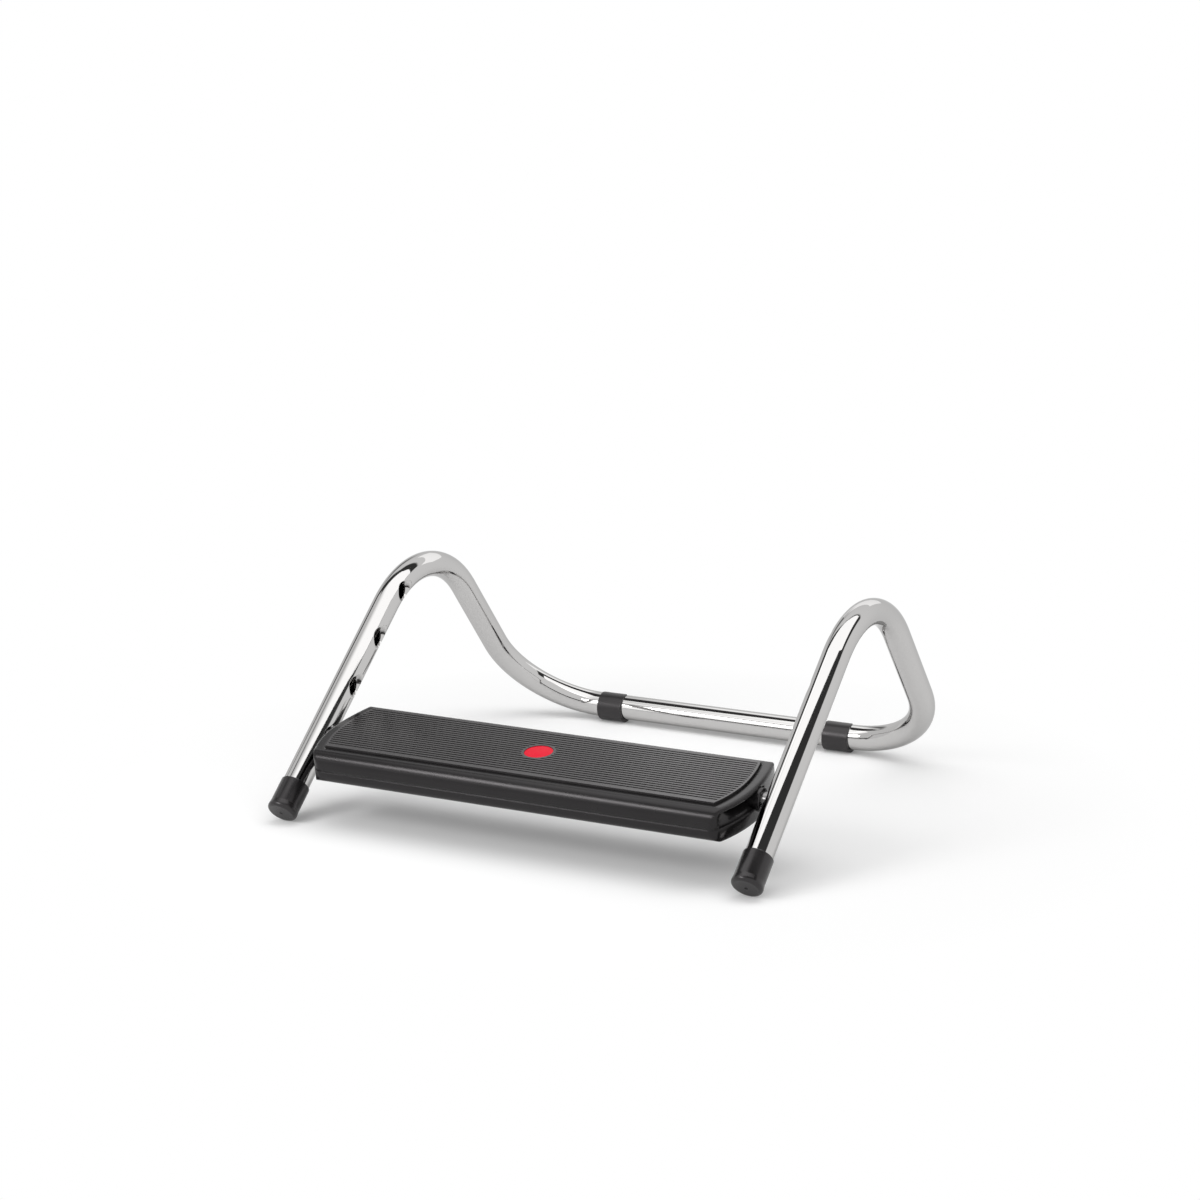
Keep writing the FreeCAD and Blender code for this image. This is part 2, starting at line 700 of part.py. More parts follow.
def cavity(name, plan):
    """A hollow inside the walls: a smaller side profile, trimmed to the given plan."""
    wall = "sizes.deck_wall"
    front = "(%s - sizes.nose_reach)" % wall
    rear = "(sizes.heel_reach - %s)" % wall
    sketch = new_sketch(name + "_side", role="YZ_Plane", offset="-places.deck_width / 2")
    bottom = "(sizes.nose_bottom_radius - %s)" % wall
    heel = "(sizes.heel_bottom_radius - %s)" % wall
    floor = "places.cavity_floor"
    low_rear = "(sizes.heel_reach - sizes.heel_lean - %s)" % wall
    outline(sketch, (front, "sizes.deck_rise - sizes.nose_top_radius"), [
        (front, "%s + %s" % (floor, bottom)),
        ("%s + %s" % (front, bottom), floor, bottom, 1),
        ("%s - %s" % (low_rear, heel), floor),
        (low_rear, "%s + %s" % (floor, heel), heel, 1),
        (rear, "places.cavity_top - sizes.heel_top_radius"),
        (rear + " - sizes.heel_top_radius", "places.cavity_top"),
        (front + " + sizes.nose_top_radius", "places.cavity_top"),
        (front, "sizes.deck_rise - sizes.nose_top_radius"),
    ])
    side = extrusion(name + "_side_prism", sketch, Vector(1, 0, 0), "places.deck_width")
    return common(name, plan, side)


def middle_plan(name):
    """Between the two end coves, over the deck's whole depth."""
    return box(name, ("-places.hollow_x", "places.hollow_x"),
               ("-sizes.nose_reach", "sizes.heel_reach"), ("-sizes.deck_drop", "sizes.deck_rise"))


def end_plan(name, high):
    """Out to the end walls, up to the given height."""
    return plan_prism(name, "sizes.deck_wall", "(sizes.deck_wall - sizes.nose_reach)",
                      "(sizes.heel_reach - sizes.deck_wall)", "-sizes.deck_drop", high)


def cove_tool(side):
    """The scoop under the rim at one end: it deepens from the nose's corner to the pivot."""
    across = "%d * (places.deck_width / 2" % side
    out = across + " + sizes.overrun)"
    mouth = across + " - sizes.cove_mouth)"
    deep = across + " - sizes.cove_depth)"
    run = "(sizes.cove_front - sizes.cove_turn)"
    fall = "(sizes.cove_depth - sizes.cove_mouth)"
    sweep = "((%s^2 + %s^2) / (2 * %s))" % (run, fall, fall)
    sketch = outline(new_sketch("cove_plan", offset="-sizes.seam_drop"),
                     (out, "-sizes.cove_front"), [
        (out, "sizes.cove_rear"),
        (deep, "sizes.cove_rear"),
        (deep, "-sizes.cove_turn"),
        (mouth, "-sizes.cove_front", sweep, side),
        (out, "-sizes.cove_front"),
    ])
    block = extrusion("cove_block", sketch, Vector(0, 0, 1),
                      "places.cove_top + sizes.seam_drop")
    innermost = place("deck_width") / 2 - size("cove_depth") + size("seat_gap")

    def at_back(edge):
        box = edge.BoundBox
        return (box.ZLength > size("cove_top_radius") and box.YMin > 0
                and max(abs(box.XMin), abs(box.XMax)) < innermost)

    def under_lip(edge):
        box = edge.BoundBox
        return (box.ZMin > place("cove_top") - size("seat_gap")
                and box.YMax > -size("cove_front") + size("seat_gap")
                and min(abs(box.XMin), abs(box.XMax)) < place("deck_width") / 2)

    back = rounded("cove_back", block, "sizes.cove_back_radius", at_back)
    return rounded("cove", back, "sizes.cove_top_radius", under_lip)


def both_ends(make, name):
    return fused(name, make(1), make(-1))


def mirrored_rod(name, radius, start, end):
    """The same rod along the pivot axis at both ends of the deck."""
    right = rod(name + "_right", radius, start, end)
    left = rod(name + "_left", radius, "-(%s)" % end, "-(%s)" % start)
    return fused(name, right, left)


def screw_places():
    places_x = ["places.screw_outer", "sizes.screw_inner", "-sizes.screw_inner",
                "-places.screw_outer"]
    return [(x, y) for x in places_x for y in ("-sizes.screw_front", "sizes.screw_rear")]


def at_screws(name, radius, low, high):
    rods = [rod(name + "_one", radius, low, high, "z", spot) for spot in screw_places()]
    return fused(name, *rods)


def mat_prism(name, grow, low, high):
    """The tread insert's outline, grown by a margin, between two heights."""
    return plan_prism(name, "(sizes.mat_inset - (%s))" % grow, "(-sizes.mat_front - (%s))" % grow,
                      "(sizes.mat_rear + (%s))" % grow, low, high)


def cover_ribs(cavity):
    """Stiffening ribs under the tread, trimmed to the cavity so that they meet its walls."""
    half = "sizes.rib_thickness / 2"
    low, high = "-sizes.rib_drop", "places.cavity_top + sizes.overrun"
    wide = "places.deck_width / 2"
    plates = []
    for step in (-2, -1, 0, 1, 2):
        x = "%d * sizes.cross_rib_pitch" % step
        plates.append(box("cross_rib", ("%s - %s" % (x, half), "%s + %s" % (x, half)),
                          ("-sizes.nose_reach", "sizes.heel_reach"), (low, high)))
    for step in (-1, 1):
        y = "%d * sizes.long_rib_offset" % step
        plates.append(box("long_rib", ("-" + wide, wide),
                          ("%s - %s" % (y, half), "%s + %s" % (y, half)), (low, high)))
    return common("cover_ribs", fused("rib_grid", *plates), cavity)


def seam_region():
    """Everything under the level seam between the two mouldings."""
    wide, deep = "places.deck_width", "places.deck_width / 2"
    return box("under_seam", ("-" + wide, wide), ("-" + deep, deep),
               ("-(sizes.deck_drop + sizes.overrun)", "-sizes.seam_drop"))


def make_deck_cover():
    """The upper moulding: nose, rim, coved ends, ribs, screw posts and the tread's recess."""
    upper = cut("deck_upper", deck_block(), seam_region())
    hollow = cavity("cover_cavity", middle_plan("cover_middle"))
    behind_pivot = box("behind_pivot", ("-places.deck_width", "places.deck_width"),
                       ("sizes.cove_rear + sizes.deck_wall", "places.deck_width"),
                       ("-sizes.deck_drop", "sizes.deck_rise"))
    heel_ends = cavity("cover_heel_ends",
                       common("heel_end_plan", end_plan("cover_ends", "places.cavity_top"),
                              behind_pivot))
    coved = cut("cover_coved", upper, both_ends(cove_tool, "coves"))
    shell = cut("cover_shell", coved, fused("cover_hollow", hollow, heel_ends))
    ribs = cover_ribs(hollow)
    posts = at_screws("cover_posts", "sizes.screw_radius + sizes.post_wall",
                      "-sizes.seam_drop", "places.cavity_top + sizes.deck_wall / 2")
    whole = fused("cover_whole", shell, ribs, posts)
    pilots = at_screws("cover_pilots", "sizes.screw_radius + sizes.seat_gap",
                       "-sizes.deck_drop", "places.cavity_top - sizes.rib_thickness")
    recess = mat_prism("mat_recess", "sizes.mat_gap", "places.recess_floor",
                       "sizes.deck_rise + sizes.overrun")
    necks = mirrored_rod("neck_holes", "sizes.neck_radius + sizes.seat_gap",
                         "places.bush_inner_end", "places.boss_end")
    seats = mirrored_rod("boss_seats", "sizes.boss_radius + sizes.seat_gap",
                         "places.boss_seat", "places.boss_end")
    cover = cut("deck_cover", whole, fused("cover_cuts", pilots, recess, necks, seats))
    cover.Label = "deck_cover"
    cover.Placement = on_deck()
    return cover


def bearing_block(x):
    """A saddle from the base's floor up round the pin, its thickness outward from x."""
    half = "sizes.block_width / 2"
    end = "%s + sizes.block_thickness" % x
    top = "places.cavity_top - sizes.block_top_gap"
    return box("bearing_block", (x, end), ("-" + half, half), ("-sizes.deck_drop", top))


def divider(side):
    """The wall across the base under the end cove's inner wall; a trough lies outside it."""
    x = ("places.hollow_x", "places.hollow_x + sizes.deck_wall")
    if side < 0:
        x = ("-(places.hollow_x + sizes.deck_wall)", "-places.hollow_x")
    return box("divider", x, ("-sizes.nose_reach", "sizes.heel_reach"),
               ("-sizes.deck_drop", "-sizes.seam_drop"))


def boss_cradle(side):
    """The solid seat under a pivot boss, between the base's floor and the seam."""
    start, end = "places.boss_seat", "places.deck_width / 2 - sizes.deck_wall"
    half = "(sizes.boss_radius + sizes.deck_wall)"
    x = (start, end) if side > 0 else ("-(%s)" % end, "-" + start)
    return box("boss_cradle", x, ("-" + half, half), ("-sizes.deck_drop", "-sizes.seam_drop"))


def make_deck_base():
    """The lower tray: floor, walls, end troughs, screw posts, bearing blocks and pull slots."""
    lower = common("deck_lower", deck_block(), seam_region())
    tray = cut("base_tray", lower, cavity("base_cavity", end_plan("base_plan", "0")))
    dividers = common("base_dividers", lower, fused("divider_pair", divider(1), divider(-1)))
    posts = at_screws("base_posts", "sizes.post_radius", "places.cavity_floor - sizes.deck_wall / 2",
                      "-sizes.seam_drop")
    blocks = [bearing_block(x) for x in
              ("places.inner_block", "places.bush_inner_end",
               "-(places.inner_block + sizes.block_thickness)",
               "-(places.bush_inner_end + sizes.block_thickness)")]
    whole = fused("base_whole", tray, dividers, posts, boss_cradle(1), boss_cradle(-1), *blocks)
    pin_bores = mirrored_rod("pin_bores", "sizes.pin_radius + sizes.running_gap",
                             "places.pin_inner_end", "places.bush_inner_end")
    neck_bores = mirrored_rod("neck_bores", "sizes.neck_radius + sizes.seat_gap",
                              "places.bush_inner_end", "places.boss_end")
    seats = mirrored_rod("cradle_seats", "sizes.boss_radius + sizes.seat_gap",
                         "places.boss_seat", "places.boss_end")
    drills = at_screws("base_drills", "sizes.screw_radius + sizes.running_gap",
                       "-(sizes.deck_drop + sizes.overrun)", "sizes.overrun - sizes.seam_drop")
    recesses = at_screws("base_recesses", "sizes.screw_head_radius + sizes.ring_gap",
                         "-(sizes.deck_drop + sizes.overrun)",
                         "sizes.screw_recess - sizes.deck_drop")
    tab_low = "(places.pull_start + sizes.pull_length / 2 - sizes.tab_thickness / 2)"
    slot_start = "(%s - sizes.pull_travel - sizes.slot_gap)" % tab_low
    slot_end = "(%s + sizes.tab_thickness + sizes.slot_gap)" % tab_low
    half_slot = "(sizes.pull_width / 2 + sizes.slot_gap)"
    tall = ("-(sizes.deck_drop + sizes.overrun)", "-sizes.seam_drop")
    slots = fused("pull_slots",
                  box("pull_slot", (slot_start, slot_end), ("-" + half_slot, half_slot), tall),
                  box("pull_slot", ("-" + slot_end, "-" + slot_start),
                      ("-" + half_slot, half_slot), tall))
    base = cut("deck_base", whole,
               fused("base_cuts", pin_bores, neck_bores, seats, drills, recesses, slots))
    base.Label = "deck_base"
    base.Placement = on_deck()
    return base


def make_tread_mat():
    """The ribbed insert: fine grooves along it that stop short of its border and its collar."""
    blank = mat_prism("mat_blank", "0", "places.recess_floor", "places.mat_top")
    long_half = "places.mat_width / 2"
    grooves = []
    for number in range(RIB_COUNT + 1):
        y = "(sizes.rib_pitch * %s - sizes.first_rib)" % (number - 0.5)
        grooves.append(box("groove", ("-" + long_half, long_half),
                           ("%s - sizes.groove_width / 2" % y, "%s + sizes.groove_width / 2" % y),
                           ("places.mat_top - sizes.groove_depth",
                            "places.mat_top + sizes.overrun")))
    field = mat_prism("groove_field", "-sizes.mat_border", "places.recess_floor",
                      "places.mat_top + 2 * sizes.overrun")
    trimmed = common("mat_grooves", fused("groove_set", *grooves), field)
    disc_spot = ("0", "-sizes.disc_centre")
    collar = rod("disc_collar", "sizes.disc_radius + sizes.disc_collar", "places.recess_floor",
                 "places.mat_top + sizes.overrun", "z", disc_spot)
    seat = rod("disc_seat", "sizes.disc_radius + sizes.disc_gap",
               "places.mat_top - sizes.disc_thickness", "places.mat_top + sizes.overrun",
               "z", disc_spot)
    mat = cut("tread_mat", cut("mat_ribbed", blank, cut("grooves_round_disc", trimmed, collar)),
              seat)
    mat.Label = "tread_mat"
    mat.Placement = on_deck()
    return mat


def make_deck_disc():
    """The plain colour disc: flat underneath, slightly crowned on top."""
    body = new_body("deck_disc")
    edge = "(sizes.disc_thickness - sizes.disc_crown)"
    crown = "((sizes.disc_radius^2 + sizes.disc_crown^2) / (2 * sizes.disc_crown))"
    section = outline(new_sketch("disc_section", body, "XZ_Plane"), ("0", "0"), [
        ("sizes.disc_radius", "0"),
        ("sizes.disc_radius", edge),
        ("0", "sizes.disc_thickness", crown, 1),
        ("0", "0"),
    ])
    turned(body, section, "V_Axis")
    spot = Vector(0, -size("disc_centre"), place("mat_top") - size("disc_thickness"))
    body.Placement = on_deck() * FreeCAD.Placement(spot, FreeCAD.Rotation())
    return body


def make_screws():
    """The self-tapping screws that hold the base to the cover, heads down in their recesses."""
    seat = "(sizes.screw_recess - sizes.deck_drop)"
    shanks = at_screws("screw_shanks", "sizes.screw_radius", seat, seat + " + sizes.screw_length")
    heads = at_screws("screw_heads", "sizes.screw_head_radius",
                      seat + " - sizes.screw_head_height", seat)
    screws = fused("deck_screws", shanks, heads)
    screws.Label = "deck_screws"
    screws.Placement = on_deck()
    return screws


# The sprung pivot pins

def side_name(name, side):
    return name + ("_right" if side > 0 else "_left")


def make_bush(side):
    """A flanged plastic bush: its boss stands in the deck's end cove, its neck in a block."""
    body = new_body(side_name("pivot_bush", side))
    bore = "(sizes.pin_radius + sizes.running_gap)"
    wide_bore = "(sizes.pin_head_radius + sizes.running_gap)"
    edge = "sizes.boss_edge"
    section = outline(new_sketch("bush_section", body, "XZ_Plane"), ("places.bush_inner_end", bore), [
        ("places.bush_inner_end", "sizes.neck_radius"),
        ("places.boss_seat", "sizes.neck_radius"),
        ("places.boss_seat", "sizes.boss_radius"),
        ("places.boss_end - " + edge, "sizes.boss_radius"),
        ("places.boss_end", "sizes.boss_radius - " + edge, edge, -1),
        ("places.boss_end", wide_bore),
        ("places.head_room", wide_bore),
        ("places.head_room", bore),
        ("places.bush_inner_end", bore),
    ])
    turned(body, section, "H_Axis")
    body.Placement = on_deck(side)
    return body


def make_pin(side):
    """The steel pin: a wider head, a groove for its ring and a cross hole for the pull."""
    body = new_body(side_name("pivot_pin", side))
    chamfer = "sizes.pin_chamfer"
    groove = "(sizes.pin_radius - sizes.ring_groove_depth)"
    groove_end = "(places.ring_start + sizes.ring_thickness)"
    section = outline(new_sketch("pin_section", body, "XZ_Plane"), ("places.pin_inner_end", "0"), [
        ("places.pin_inner_end", "sizes.pin_radius - " + chamfer),
        ("places.pin_inner_end + " + chamfer, "sizes.pin_radius"),
        ("places.ring_start", "sizes.pin_radius"),
        ("places.ring_start", groove),
        (groove_end, groove),
        (groove_end, "sizes.pin_radius"),
        ("places.head_start", "sizes.pin_radius"),
        ("places.head_start", "sizes.pin_head_radius"),
        ("places.pin_tip - " + chamfer, "sizes.pin_head_radius"),
        ("places.pin_tip", "sizes.pin_head_radius - " + chamfer),
        ("places.pin_tip", "0"),
        ("places.pin_inner_end", "0"),
    ])
    turned(body, section, "H_Axis")
    hole = new_sketch("pin_cross_hole", body, "XZ_Plane")
    circle_sketch(hole, "sizes.cross_pin_radius + sizes.seat_gap",
                  "places.pull_start + sizes.cross_pin_setback")
    pocket(body, hole, "4 * sizes.pin_radius", both_ways=True)
    body.Placement = on_deck(side)
    return body


def ring_body(side, name, start, thickness, inner, outer):
    """A flat ring about the pivot axis."""
    body = new_body(side_name(name, side))
    section = new_sketch(name + "_section", body, "XZ_Plane")
    outline(section, (start, inner), [
        (start, outer),
        (start + " + " + thickness, outer),
        (start + " + " + thickness, inner),
        (start, inner),
    ])
    turned(body, section, "H_Axis")
    body.Placement = on_deck(side)
    return body


def make_ring(side):
    """The retaining ring in the pin's groove, with its mouth below."""
    inner = "sizes.pin_radius - sizes.ring_groove_depth + sizes.seat_gap"
    body = ring_body(side, "pin_ring", "places.ring_start", "sizes.ring_thickness", inner,
                     "sizes.ring_radius")
    half = "sizes.ring_mouth / 2"
    mouth = new_sketch("ring_mouth", body, "YZ_Plane", "places.ring_start")
    outline(mouth, ("-" + half, "0"), [
        ("-" + half, "-2 * sizes.ring_radius"),
        (half, "-2 * sizes.ring_radius"),
        (half, "0"),
        ("-" + half, "0"),
    ])
    pocket(body, mouth, "2 * sizes.ring_thickness", both_ways=True)
    return body


def make_washer(side):
    return ring_body(side, "spring_washer", "places.washer_start", "sizes.washer_thickness",
                     "sizes.pin_radius + sizes.running_gap", "sizes.washer_radius")


def arc_on(start, corner, end):
    """The arc from start to end that is tangent to both legs of the corner."""
    middle = (start + end) / 2
    half = (end - start).Length / 2
    rise = corner - middle
    bulge = half * math.tan(math.atan2(rise.Length, half) / 2)
    return Part.Arc(start, middle + rise.normalize() * bulge, end).toShape()


def biarc(start, start_way, end, end_way):
    """Two arcs that meet smoothly, from one point and direction to another."""
    across = end - start
    ways = start_way + end_way
    bend = 2 * (1 - start_way.dot(end_way))
    lean = across.dot(ways)
    reach = (math.sqrt(lean ** 2 + bend * across.dot(across)) - lean) / bend
    first, last = start + start_way * reach, end - end_way * reach
    joint = (first + last) / 2
    return [arc_on(start, first, joint), arc_on(joint, last, end)]


def make_spring(side):
    """The compression spring round the pin: one unbroken wire of smooth half-turn arcs."""
    name = side_name("pin_spring", side)
    radius, wire = size("spring_radius"), size("spring_wire") / 2
    turns = size("spring_turns")
    start, end = place("spring_start") + wire, place("spring_end") - wire
    climb = (end - start) / turns
    spin = 2 * math.pi

    def point(turn):
        angle = spin * turn
        return Vector(start + climb * turn, radius * math.cos(angle), radius * math.sin(angle))

    def way(turn):
        angle = spin * turn
        return Vector(climb, -spin * radius * math.sin(angle),
                      spin * radius * math.cos(angle)).normalize()

    quarters = [number / 4 for number in range(int(round(4 * turns)) + 1)]
    edges = []
    for before, after in zip(quarters, quarters[1:]):
        edges += biarc(point(before), way(before), point(after), way(after))
    path = Part.Wire(edges)
    section = Part.Wire([Part.Circle(point(0), way(0), wire).toShape()])
    spring = doc.addObject("Part::Feature", name)
    spring.Label = name
    spring.Shape = path.makePipeShell([section], True, False)
    spring.Placement = on_deck(side)
    return spring


def make_pull(side):
    """The finger pull: a block on the pin's inner end with a tab down through the base."""
    body = new_body(side_name("finger_pull", side))
    end = "(places.pull_start + sizes.pull_length)"
    tab_start = "(places.pull_start + sizes.pull_length / 2 - sizes.tab_thickness / 2)"
    tab_end = "(%s + sizes.tab_thickness)" % tab_start
    section = outline(new_sketch("pull_side", body, "XZ_Plane"),
                      ("places.pull_start", "-sizes.pull_drop"), [
        (tab_start, "-sizes.pull_drop"),
        (tab_start, "-sizes.tab_reach"),
        (tab_end, "-sizes.tab_reach"),
        (tab_end, "-sizes.pull_drop"),
        (end, "-sizes.pull_drop"),
        (end, "sizes.pull_rise"),
        ("places.pull_start", "sizes.pull_rise"),
        ("places.pull_start", "-sizes.pull_drop"),
    ])
    pad(body, section, "sizes.pull_width", both_ways=True)
    bore = new_sketch("pull_bore", body, "YZ_Plane", "places.pull_start")
    circle_sketch(bore, "sizes.pin_radius + sizes.seat_gap")
    pocket(body, bore, "4 * sizes.pull_length", both_ways=True)
    cross = new_sketch("pull_cross_hole", body, "XZ_Plane")
    circle_sketch(cross, "sizes.cross_pin_radius + sizes.seat_gap",
                  "places.pull_start + sizes.cross_pin_setback")
    pocket(body, cross, "2 * sizes.pull_width", both_ways=True)
    low = -size("tab_reach")
    half = size("pull_width") / 2

    def tab_corner(edge):
        box = edge.BoundBox
        level = abs(box.ZMin - low) < size("seat_gap") and box.ZLength < size("seat_gap")
        return level and abs(abs(box.Center.y) - half) < size("seat_gap")

    smoothed(body, "sizes.tab_edge", tab_corner)
    body.Placement = on_deck(side)
    return body


def make_cross_pin(side):
    """The roll pin through the pull and the pivot pin."""
    name = side_name("pull_cross_pin", side)
    half = "sizes.pull_width / 2"
    pin = rod(name + "_rod", "sizes.cross_pin_radius", "-" + half, half, "y",
              ("places.pull_start + sizes.cross_pin_setback", "0"))
    holder = doc.addObject("Part::Compound", name)
    holder.Links = [pin]
    holder.Label = name
    holder.Placement = on_deck(side)
    return holder


def build():
    parts = [make_frame_tube(), make_deck_cover(), make_deck_base(), make_tread_mat(),
             make_deck_disc(), make_screws()]
    for side in (1, -1):
        parts += [make(side) for make in (make_foot_cap, make_glide, make_bush, make_pin,
                                          make_ring, make_washer, make_spring, make_pull,
                                          make_cross_pin)]
    return parts


parts = build()
doc.recompute()

broken = [thing.Name for thing in doc.Objects
          if "Invalid" in thing.State or "Error" in thing.State]
if broken:
    raise RuntimeError("objects that failed: " + ", ".join(broken))
os.makedirs("parts", exist_ok=True)
for part in parts:
    shape = part.Shape
    if shape.isNull() or not shape.isValid() or shape.Volume <= 0:
        raise RuntimeError("bad shape: " + part.Label)
    print("%-22s solids %2d  volume %9.0f  faces %4d" % (
        part.Label, len(shape.Solids), shape.Volume, len(shape.Faces)))
for part in parts:
    part.Shape.exportStep("parts/%s.step" % part.Label)
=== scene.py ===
import json
import math

import bpy
from mathutils import Matrix, Vector


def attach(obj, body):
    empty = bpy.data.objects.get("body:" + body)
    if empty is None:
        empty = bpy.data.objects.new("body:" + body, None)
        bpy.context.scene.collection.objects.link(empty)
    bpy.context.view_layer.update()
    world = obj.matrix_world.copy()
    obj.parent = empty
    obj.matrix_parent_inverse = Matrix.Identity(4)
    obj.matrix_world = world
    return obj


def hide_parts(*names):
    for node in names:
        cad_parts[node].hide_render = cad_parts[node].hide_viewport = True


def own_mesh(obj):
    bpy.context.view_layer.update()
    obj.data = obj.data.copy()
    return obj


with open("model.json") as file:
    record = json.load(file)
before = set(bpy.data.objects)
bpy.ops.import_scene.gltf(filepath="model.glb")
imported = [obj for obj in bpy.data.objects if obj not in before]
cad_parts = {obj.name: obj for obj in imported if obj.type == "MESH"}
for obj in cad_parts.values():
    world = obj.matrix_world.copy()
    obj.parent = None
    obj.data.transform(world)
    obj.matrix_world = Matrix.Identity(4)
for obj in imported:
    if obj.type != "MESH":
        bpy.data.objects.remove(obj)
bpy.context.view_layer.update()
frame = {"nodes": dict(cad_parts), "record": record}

# The footrest's chrome frame and black deck come from the CAD nodes. This script gives them
# their finishes, adds the scoops in the deck's ends, puts copies of the pins' springs on the
# deck, and sets up the camera, a pale floor and a soft studio. Lengths are in metres.


# Camera: its place, its angles in degrees, and its lens and sensor in millimetres

EYE = (1.12724, -2.20375, 0.74323)
AZIMUTH = 27.598
ELEVATION = 12.700
ROLL = -0.1286
LENS = 82.1
SENSOR = 36.0
FARTHEST = 50


def add_object(name, data):
    thing = bpy.data.objects.new(name, data)
    bpy.context.scene.collection.objects.link(thing)
    return thing


def make_camera():
    data = bpy.data.cameras.new("camera")
    data.lens = LENS
    data.sensor_width = SENSOR
    data.sensor_fit = "AUTO"
    data.clip_end = FARTHEST
    camera = add_object("camera", data)
    turn = Matrix.Rotation(math.radians(AZIMUTH), 4, "Z")
    tip = Matrix.Rotation(math.radians(90 - ELEVATION), 4, "X")
    lean = Matrix.Rotation(math.radians(ROLL), 4, "Z")
    camera.matrix_world = Matrix.Translation(EYE) @ turn @ tip @ lean
    bpy.context.scene.camera = camera


# Shader nodes

class Nodes:
    """A short way to write a node tree."""

    def __init__(self, tree):
        self.tree = tree

    def add(self, kind, **settings):
        node = self.tree.nodes.new("ShaderNode" + kind)
        for name, entry in settings.items():
            if hasattr(node, name):
                setattr(node, name, entry)
            else:
                node.inputs[name.replace("_", " ")].default_value = entry
        return node

    def feed(self, socket, entry):
        """Links the entry to the socket, or sets the socket to it where it is a number."""
        if isinstance(entry, bpy.types.NodeSocket):
            self.tree.links.new(entry, socket)
        else:
            socket.default_value = entry

    def calculate(self, operation, *entries):
        node = self.add("Math", operation=operation)
        for socket, entry in zip(node.inputs, entries):
            self.feed(socket, entry)
        return node.outputs["Value"]

    def ramp(self, source, low, high, span=(0.0, 1.0), curve="LINEAR"):
        """The part of the source inside the span, carried to low and high."""
        node = self.add("MapRange", interpolation_type=curve)
        inputs = {"Value": source, "From Min": span[0], "From Max": span[1],
                  "To Min": low, "To Max": high}
        for name, entry in inputs.items():
            self.feed(node.inputs[name], entry)
        return node.outputs["Result"]

    def step(self, source, edge, soft, low=0.0, high=1.0):
        """Low before the edge and high past it, with a soft change between them."""
        return self.ramp(source, low, high, (edge - soft, edge + soft), "SMOOTHSTEP")

    def between(self, source, edges, soft):
        """One between the two edges and zero outside them."""
        return self.calculate("MULTIPLY", self.step(source, edges[0], soft),
                              self.step(source, edges[1], soft, 1.0, 0.0))

    def seen(self, first, *others):
        """One for rays of these kinds and zero for all others."""
        path = self.add("LightPath")
        seen = path.outputs["Is %s Ray" % first]
        for kind in others:
            seen = self.calculate("MAXIMUM", seen, path.outputs["Is %s Ray" % kind])
        return seen

    def mix_shaders(self, source, first, second):
        mix = self.add("MixShader")
        for socket, entry in zip(mix.inputs, (source, first, second)):
            self.tree.links.new(entry, socket)
        return mix.outputs["Shader"]


BEVEL_SAMPLES = 6


class Finish(Nodes):
    """A material, written round its shader."""

    def __init__(self, name, **inputs):
        self.material = bpy.data.materials.new(name)
        self.material.use_nodes = True
        super().__init__(self.material.node_tree)
        self.shader = self.tree.nodes["Principled BSDF"]
        for socket, entry in inputs.items():
            self.set(socket.replace("_", " "), entry)

    def set(self, socket, entry):
        self.feed(self.shader.inputs[socket], entry)

    def noise(self, cells, detail, stretch=(1, 1, 1)):
        """Noise with so many cells in a metre of the object, stretched along its axes."""
        mapping = self.add("Mapping", Scale=stretch)
        self.feed(mapping.inputs["Vector"], self.add("TexCoord").outputs["Object"])
        noise = self.add("TexNoise", Scale=cells, Detail=detail)
        self.feed(noise.inputs["Vector"], mapping.outputs["Vector"])
        return noise.outputs["Fac"]

    def blend(self, source, first, second):
        """Two colours mixed by the source."""
        mix = self.add("Mix", data_type="RGBA")
        mix.inputs["A"].default_value = first + (1,)
        mix.inputs["B"].default_value = second + (1,)
        self.feed(mix.inputs["Factor"], source)
        return mix.outputs["Result"]

    def bump(self, source, relief, edge=0):
        """The source as relief, of a depth and strength, over edges rounded to a radius."""
        bump = self.add("Bump", Distance=relief[0], Strength=relief[1])
        self.feed(bump.inputs["Height"], source)
        if edge:
            bevel = self.add("Bevel", Radius=edge)
            bevel.samples = BEVEL_SAMPLES
            self.feed(bump.inputs["Normal"], bevel.outputs["Normal"])
        return bump.outputs["Normal"]


# Finishes: two colours and two roughnesses that alternate over the surface, relief as depth and
# strength, and the radius that edges are rounded to. Noise is given as cells and detail.

CHROME = {"colours": ((0.52, 0.513, 0.508), (0.55, 0.543, 0.537)), "rough": (0.02, 0.06),
          "relief": (0.0004, 0.15), "edge": 0.0006, "rim_tint": (0.7, 0.7, 0.7, 1)}
CHROME_HAZE = (14, 4)
CHROME_SMEARS = (60, 5)
CHROME_WAVES = (22, 2)

